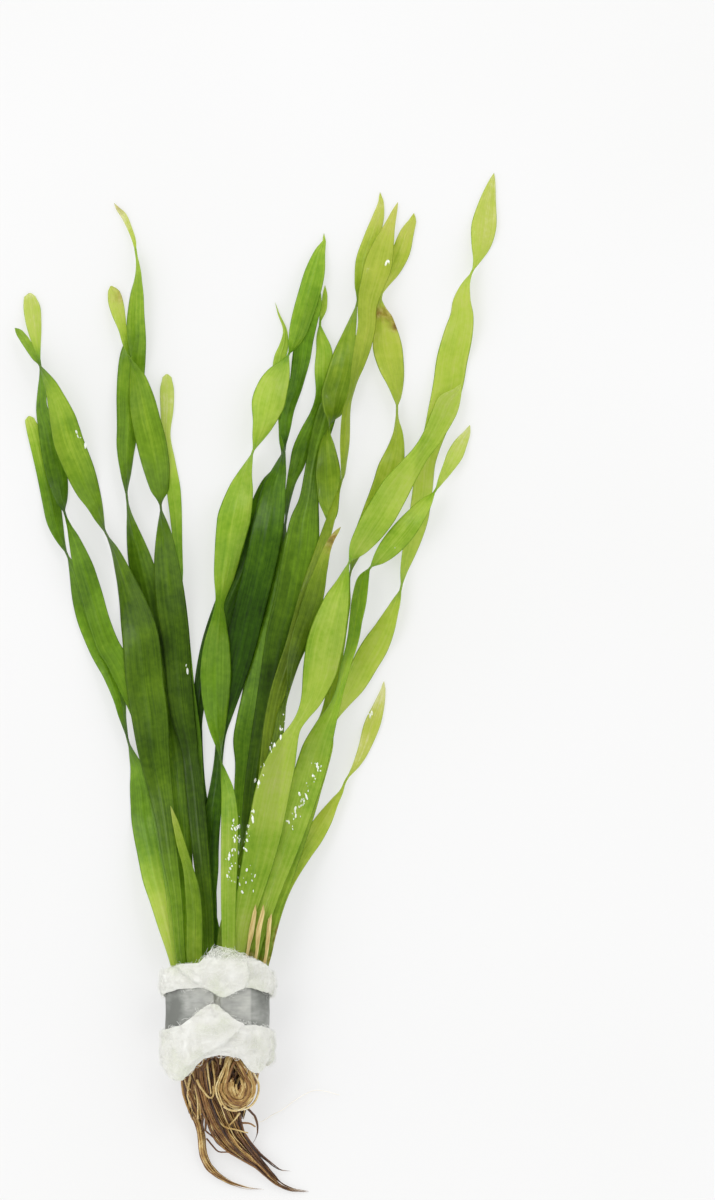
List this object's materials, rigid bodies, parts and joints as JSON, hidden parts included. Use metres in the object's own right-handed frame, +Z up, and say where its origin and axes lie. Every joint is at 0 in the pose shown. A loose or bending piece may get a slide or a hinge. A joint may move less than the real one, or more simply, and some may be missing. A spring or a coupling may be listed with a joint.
{
  "type": "vallisneria",
  "caption": "Bunch of live vallisneria: long twisted ribbon leaves lying fanned out, their crowns held in a collar of filter wool under a bent lead strip, with the roots hanging out of its end.",
  "frame": {"origin": "middle of the bunch's box seen from above, on the surface that it lies on", "axes": "+Z up from the surface, +Y along the bunch from the roots to the leaf tips, +X across it to the right as the picture shows it"},
  "size_m": [0.1204, 0.2548, 0.0194],
  "materials": {
    "leaf_green": "wet satin leaf, mid green, thin and slightly see-through",
    "leaf_dark_green": "wet satin leaf, dark green",
    "leaf_pale_green": "wet satin leaf, pale olive to yellow-green",
    "dry_sheath": "dead brown leaf remains",
    "wool": "off-white polyester filter wool, wet and pressed",
    "lead": "dull grey soft lead strip",
    "crown": "pale fleshy crown",
    "root": "brown wet root strands"
  },
  "bodies": {
    "root": {"crown_left": "crown", "crown_middle": "crown", "crown_right": "crown", "dry_sheath_left": "dry_sheath", "dry_sheath_middle": "dry_sheath", "dry_sheath_right": "dry_sheath", "lead_strip": "lead", "leaf_left_broad": "leaf_dark_green", "leaf_left_hidden": "leaf_dark_green", "leaf_left_outer": "leaf_green", "leaf_left_round_tip": "leaf_green", "leaf_left_short": "leaf_dark_green", "leaf_left_tall": "leaf_green", "leaf_left_tan_tip": "leaf_green", "leaf_middle_blunt": "leaf_dark_green", "leaf_middle_brown": "leaf_dark_green", "leaf_middle_dark": "leaf_dark_green", "leaf_middle_deep": "leaf_dark_green", "leaf_middle_far": "leaf_dark_green", "leaf_middle_front": "leaf_green", "leaf_middle_left_dark": "leaf_dark_green", "leaf_middle_slim": "leaf_dark_green", "leaf_middle_tall": "leaf_dark_green", "leaf_right_front": "leaf_pale_green", "leaf_right_middle": "leaf_pale_green", "leaf_right_short": "leaf_pale_green", "leaf_right_top": "leaf_pale_green", "root_coil": "root", "root_hair": "root", "root_loop": "root", "root_mass": "root", "root_side": "root", "roots_left": "root", "roots_middle": "root", "wool_wrap": "wool"}
  },
  "joints": []
}
